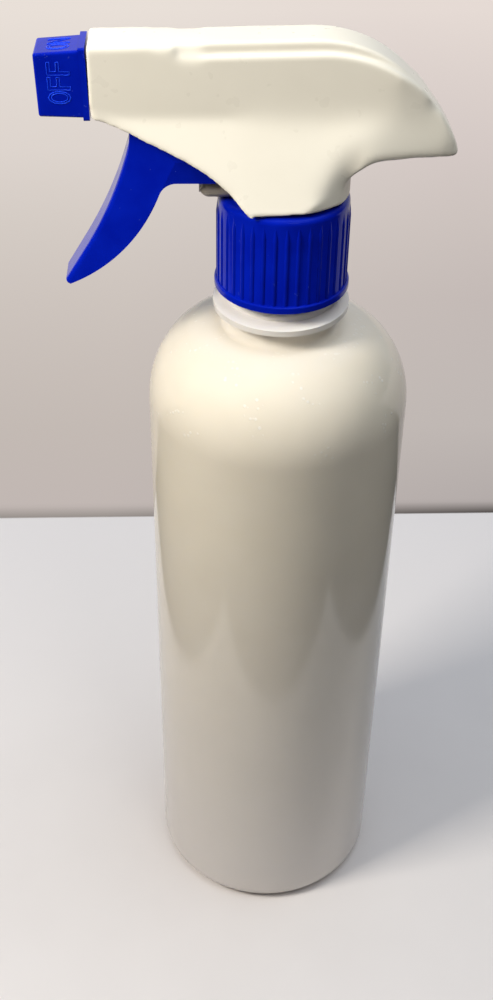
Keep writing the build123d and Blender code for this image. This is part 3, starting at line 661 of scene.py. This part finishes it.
# The tail's sides lean out towards its underside, which is nearly level.
lean = step(-z, -248, -238) * step(x, 8, 20) * step(-x, -41, -34)
points[:, 1] *= 1 + tail_lean * lean
lift = np.interp(x, tail_places, tail_lifts)
points[:, 2] += lift * MM * step(-z, -242.5, -238.0) * step(x, 14, 19)
print("points moved at the block's end:", int((on_end > 0).sum()), "and at the tail:",
      int((lean > 0).sum()))

# %% Soften the cover
# Each region has a weight that is 1 inside it and fades to 0 over the millimetres given.
all_rounds, all_steady_rounds, push_out = 3, 12, 0.51
front_edge_rounds, lower_edge_rounds = 24, 30
side_rounds, block_end_rounds, tail_rounds = 160, 40, 22
x, y, z = (points / MM).T
everywhere = np.full(len(points), 1.0)
points = soften(points, edges, everywhere, all_rounds)
points = soften(points, edges, everywhere, all_steady_rounds, back=push_out)
lower_edge = step(brow_z - z, -4.0, -2.0) * step(-x, -18, -12)
front_edge = lower_edge * step(-x, 10, 14)
points = soften(points, edges, front_edge, front_edge_rounds)
points = soften(points, edges, lower_edge, lower_edge_rounds, back=push_out)
skirt_z = np.interp(x, [11, 17], [229.5, 238.6])
side = (step(x, -14, -4) * step(-x, -34, -29) * step(ledge_z - z, 2.0, 5.0)
        * step(z - skirt_z, 0.0, 3.0) * (np.abs(y) > 2.5))
points = soften(points, edges, side, side_rounds)
block_end = step(x, -31, -28) * step(-x, 17, 21) * step(z, 253, 256)
points = soften(points, edges, block_end * 0.9, block_end_rounds)
tail = step(x, 16, 20) * step(-z, -240.5, -238.5)
points = soften(points, edges, tail, tail_rounds)
print("softened points: side", int((side > 0).sum()), "block end", int((block_end > 0).sum()),
      "tail", int((tail > 0).sum()))

# %% Dress the cover
mesh.vertices.foreach_set("co", points.ravel())
mesh.update()
mesh.materials.clear()
mesh.materials.append(cover_cream)
tidy_normals(mesh, 60.0)
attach(cover, "head")
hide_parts("shroud")

# %% [markdown]
# ## Springs
# Both springs are wound from steel wire, and each gets shorter when the pump works. A merged
# copy of each CAD spring is shaded smooth and fixed to the head in its place, at the CAD's
# length.

# %% Spring copies


def shortening_spring(node_name):
    """A merged copy of a CAD spring, shaded smooth and fixed to the head in its place."""
    spring_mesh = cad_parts[node_name].data.copy()
    work = bmesh.new()
    work.from_mesh(spring_mesh)
    bmesh.ops.remove_doubles(work, verts=work.verts, dist=1e-6)
    work.to_mesh(spring_mesh)
    work.free()
    tidy_normals(spring_mesh)
    piece = bpy.data.objects.new(node_name + "_coil", spring_mesh)
    bpy.context.scene.collection.objects.link(piece)
    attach(piece, "head")
    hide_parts(node_name)
    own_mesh(piece)


shortening_spring("piston_spring")
shortening_spring("outlet_spring")

# %% [markdown]
# ## Raised lettering
# A turning nozzle says which way it is set: OFF on its two sides and ON on its top, in thin
# raised outlines. A text without a fill gives the outline of each letter. Those points are laid
# out on the wall, narrowed to the letter's width and turned on their side, and a round bevel
# makes them a raised line, of which half stands out of the wall.

# %% Letter outlines


def ordered_loops(mesh):
    """Closed loops of vertex indices that the edges of a mesh make."""
    joined = {}
    for edge in mesh.edges:
        first, second = edge.vertices
        joined.setdefault(first, []).append(second)
        joined.setdefault(second, []).append(first)
    loops, used = [], set()
    for start in joined:
        if start in used:
            continue
        loop, here = [], start
        while here is not None:
            used.add(here)
            loop.append(here)
            here = next((n for n in joined[here] if n not in used), None)
        loops.append(loop)
    return loops


def outlined_letter(letter):
    """Closed outlines of one letter, as points in a square one unit wide and one unit tall."""
    text = bpy.data.curves.new("letter", "FONT")
    text.body = letter
    text.fill_mode = "NONE"
    text.resolution_u = 3
    source = bpy.data.objects.new("letter", text)
    bpy.context.scene.collection.objects.link(source)
    graph = bpy.context.evaluated_depsgraph_get()
    flat = bpy.data.meshes.new_from_object(source.evaluated_get(graph))
    bpy.data.objects.remove(source)
    corners = [v.co for v in flat.vertices]
    low = [min(c[i] for c in corners) for i in (0, 1)]
    high = [max(c[i] for c in corners) for i in (0, 1)]
    return [[((corners[i].x - low[0]) / (high[0] - low[0]),
              (corners[i].y - low[1]) / (high[1] - low[1])) for i in loop]
            for loop in ordered_loops(flat)]


print("outlines in an O:", len(outlined_letter("O")), "and in an F:", len(outlined_letter("F")))

# %% Raised word
letter_line = 0.14 * MM


def raised_word(name, word, slots, to_place):
    """Raised outlines of a word. A slot is (start, width, height) of each letter."""
    lines = bpy.data.curves.new(name, "CURVE")
    lines.dimensions = "3D"
    lines.bevel_depth = letter_line
    lines.bevel_resolution = 1
    for letter, (start, width, height) in zip(word, slots):
        for loop in outlined_letter(letter):
            spline = lines.splines.new("POLY")
            spline.points.add(len(loop) - 1)
            for point, (u, v) in zip(spline.points, loop):
                point.co = (*to_place(start + u * width, v * height), 1)
            spline.use_cyclic_u = True
    source = bpy.data.objects.new(name + "_source", lines)
    bpy.context.scene.collection.objects.link(source)
    piece = plain_mesh(source, name)
    piece.data.materials.clear()
    piece.data.materials.append(letter_blue)
    tidy_normals(piece.data, 70.0)
    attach(piece, "nozzle")
    print(name, len(piece.data.polygons), "faces")


# %% OFF on the two sides
side_y, side_taper, straight_x = 5.06 * MM, 0.0045, -44.4 * MM
tops_x, foot_x = -51.6 * MM, -46.8 * MM
word_low_z, word_length = 249.5 * MM, 9.1 * MM
letter_height = foot_x - tops_x
off_slots = [(0.0, 2.7 * MM, letter_height), (3.05 * MM, 2.75 * MM, letter_height),
             (6.3 * MM, 2.75 * MM, letter_height)]


def side_at(x):
    """Distance of the nozzle's side wall from the middle plane at a given X."""
    return side_y + (x - straight_x) * side_taper


def on_near_side(along, up):
    """Letters read upwards on the side at -Y, with their tops towards the nozzle's face."""
    x = foot_x - up
    return (x, -side_at(x), word_low_z + along)


def on_far_side(along, up):
    """The same on the side at +Y, read downwards so that it isn't mirrored."""
    x = foot_x - up
    return (x, side_at(x), word_low_z + word_length - along)


raised_word("nozzle_off_near", "OFF", off_slots, on_near_side)
raised_word("nozzle_off_far", "OFF", off_slots, on_far_side)

# %% ON on the top
on_slots = [(0.0, 2.9 * MM, letter_height), (3.4 * MM, 2.9 * MM, letter_height)]
on_half_length = 3.15 * MM
face_x, face_length = -53.4 * MM, 6.4 * MM


def top_at(x):
    """Height of the nozzle's sloping top face at a given X, read from the CAD mesh."""
    corners = [v.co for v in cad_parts["nozzle_cap"].data.vertices
               if -54.0 * MM < v.co.x < -46.5 * MM]
    front = max(c.z for c in corners if c.x < -52.5 * MM)
    back = max(c.z for c in corners if c.x > -49.0 * MM)
    return front + (x - face_x) * (back - front) / face_length


def on_top(along, up):
    """Letters across the top, with their tops towards the nozzle's face."""
    x = foot_x - up
    return (x, along - on_half_length, top_at(x))


print("top face at the letters' tops and feet:", round(top_at(tops_x), 5),
      round(top_at(foot_x), 5))
raised_word("nozzle_on_top", "ON", on_slots, on_top)

# %% [markdown]
# ## Table and backdrop
# The bottle stands on a white mat that ends a hand's breadth around it, in front of a beige
# backdrop. The glossy bottle reflects the mat and, above a curved line, what lies beyond
# it, so the mat needs edges. All of it is one flat sheet whose colour follows its place.
# The backdrop's colour is shown plainly to the camera and to reflections, so it needs no light.
# That colour holds painted light and shade. It gets lighter further back, which the camera sees
# as higher up, and it is lighter at the left than at the right. A painted dark line of shadow
# runs where it meets the mat.

# %% Floor sheet
floor_mesh = bpy.data.meshes.new("floor")
floor_mesh.from_pydata([(-6, -6, 0), (6, -6, 0), (6, 6, 0), (-6, 6, 0)], [], [(0, 1, 2, 3)])
floor = bpy.data.objects.new("floor", floor_mesh)
bpy.context.scene.collection.objects.link(floor)
floor_finish, tree, shader, place = new_finish("table_and_backdrop")
across, back = object_axis(tree, place, "X"), object_axis(tree, place, "Y")
print("floor sheet:", len(floor_mesh.polygons), "face")

# %% White mat
# Each edge is a short blend, from the first place to the second, in metres.
left_blend, right_blend = (-0.125, -0.115), (0.125, 0.135)
front_blend, back_blend = (-0.122, -0.114), (0.1593, 0.1601)
mat_left = value_range(tree, across, 0.0, 1.0, *left_blend)
mat_right = value_range(tree, across, 1.0, 0.0, *right_blend)
mat_front = value_range(tree, back, 0.0, 1.0, *front_blend)
on_mat = multiply(tree, multiply(tree, mat_left, mat_right), mat_front)
white = blend_colours(tree, grain(tree, place, 30.0), (0.77, 0.725, 0.69), (0.79, 0.745, 0.71))
far_white = value_range(tree, back, 0.0, 1.0, -0.02, 0.16)
white = mixed(tree, far_white, white, (0.90, 0.855, 0.825))
rays = tree.nodes.new("ShaderNodeLightPath")
surround = mixed(tree, rays.outputs["Is Glossy Ray"], (0.14, 0.13, 0.12), (0.03, 0.025, 0.02))
tree.links.new(mixed(tree, on_mat, surround, white), shader.inputs["Base Color"])
tree.links.new(value_range(tree, grain(tree, place, 8.0), 0.5, 0.6),
               shader.inputs["Roughness"])
bump(tree, shader, grain(tree, place, 0.8), 0.01)
print("mat from", left_blend[1], "to", right_blend[0], "m across and from", front_blend[1],
      "to", back_blend[0], "m back")

# %% Backdrop


def ramp_back(stops):
    """Colour that follows how far back a place lies: (metres, colour) stops."""
    start, end = stops[0][0], stops[-1][0]
    ramp = add_node(tree, "ShaderNodeValToRGB",
                    [("Fac", value_range(tree, back, 0.0, 1.0, start, end))])
    elements = ramp.color_ramp.elements
    while len(elements) < len(stops):
        elements.new(0.5)
    for element, (place_back, colour) in zip(elements, stops):
        element.position = (place_back - start) / (end - start)
        element.color = (*colour, 1)
    return ramp.outputs["Color"]


# Painted light and shade on the backdrop: lighter further back and at the left, with a painted
# dark line of shadow where it meets the mat.
left = ramp_back([(0.1595, (0.30, 0.27, 0.25)), (0.168, (0.535, 0.475, 0.45)),
                  (0.224, (0.548, 0.49, 0.455)), (0.342, (0.61, 0.55, 0.51)),
                  (0.43, (0.66, 0.60, 0.555)), (0.534, (0.725, 0.66, 0.615)),
                  (0.802, (0.812, 0.742, 0.685))])
right = ramp_back([(0.1601, (0.035, 0.03, 0.028)), (0.168, (0.44, 0.40, 0.39)),
                   (0.224, (0.52, 0.475, 0.455)), (0.342, (0.55, 0.49, 0.468)),
                   (0.43, (0.605, 0.54, 0.512)), (0.534, (0.66, 0.585, 0.559)),
                   (0.802, (0.786, 0.703, 0.66))])
backdrop = mixed(tree, value_range(tree, across, 0.0, 1.0, -0.06, 0.14), left, right)
plain = tree.nodes.new("ShaderNodeEmission")
tree.links.new(backdrop, plain.inputs["Color"])
seen = sum_of(tree, sum_of(tree, rays.outputs["Is Camera Ray"], rays.outputs["Is Glossy Ray"]),
              rays.outputs["Is Transmission Ray"])
beyond = value_range(tree, back, 0.0, 1.0, *back_blend)
choice = tree.nodes.new("ShaderNodeMixShader")
tree.links.new(multiply(tree, seen, beyond), choice.inputs["Fac"])
tree.links.new(shader.outputs[0], choice.inputs[1])
tree.links.new(plain.outputs[0], choice.inputs[2])
surface = next(n for n in tree.nodes if n.type == "OUTPUT_MATERIAL").inputs["Surface"]
tree.links.new(choice.outputs[0], surface)
floor_mesh.materials.append(floor_finish)
print("floor finish:", len(tree.nodes), "nodes")

# %% [markdown]
# ## Light
# A small soft lamp stands close by at the left, so its light falls off down the bottle, and a
# large cooler one hangs above. A weak one near the head lifts its side. The room adds a weak
# bluish light, mostly from above, so upright walls away from the lamps stay dark. Reflections
# also see a bright wall behind the bottle, but not the lamps, whose square shapes would show.

# %% Lamps


def area_lamp(name, place, target, size, watts, colour):
    """A square soft lamp that looks at a target and is not seen in reflections."""
    lamp = bpy.data.objects.new(name, bpy.data.lights.new(name, "AREA"))
    lamp.data.size = size
    lamp.data.energy = watts
    lamp.data.color = colour
    lamp.location = place
    lamp.rotation_euler = (Vector(target) - Vector(place)).to_track_quat("-Z", "Y").to_euler()
    bpy.context.scene.collection.objects.link(lamp)
    lamp.visible_glossy = False
    print("lamp", name, watts, "W,", round((Vector(target) - Vector(place)).length, 2), "m away")


area_lamp("key", place=(-0.30, -0.152, 0.45), target=(0, 0, 0.19), size=0.12, watts=1.85,
          colour=(1.0, 0.955, 0.89))
area_lamp("top", place=(0.14, -0.06, 0.85), target=(0, 0, 0.15), size=0.6, watts=2.9,
          colour=(0.92, 0.965, 1.0))
area_lamp("fill", place=(0.07, -0.20, 0.40), target=(0, 0, 0.26), size=0.10, watts=0.12,
          colour=(1.0, 0.97, 0.92))

# %% Room light
world = bpy.data.worlds.new("room")
world.use_nodes = True
tree = world.node_tree
direction = tree.nodes.new("ShaderNodeTexCoord").outputs["Generated"]
up = object_axis(tree, direction, "Z")
sky = add_node(tree, "ShaderNodeValToRGB", [("Fac", up)])
low_room, overhead, wall = (0.03, 0.03, 0.035), (0.34, 0.40, 0.52), (0.62, 0.60, 0.62)
stops = sky.color_ramp.elements
stops[0].position, stops[0].color = 0.0, (*low_room, 1)
stops[1].position, stops[1].color = 1.0, (*overhead, 1)
for position, level in ((0.35, 0.03), (0.6, 0.12)):
    stop = stops.new(position)
    stop.color = (level * 0.92, level, level * 1.2, 1)
behind = value_range(tree, object_axis(tree, direction, "Y"), 0.0, 1.0, 0.3, 0.65)
rays = tree.nodes.new("ShaderNodeLightPath")
behind = multiply(tree, behind, rays.outputs["Is Glossy Ray"])
room = mixed(tree, behind, sky.outputs["Color"], wall)
tree.links.new(room, tree.nodes["Background"].inputs["Color"])
tree.nodes["Background"].inputs["Strength"].default_value = 1.0
bpy.context.scene.world = world
bpy.context.scene.view_settings.view_transform = "Standard"
print("room light:", len(tree.nodes), "nodes")
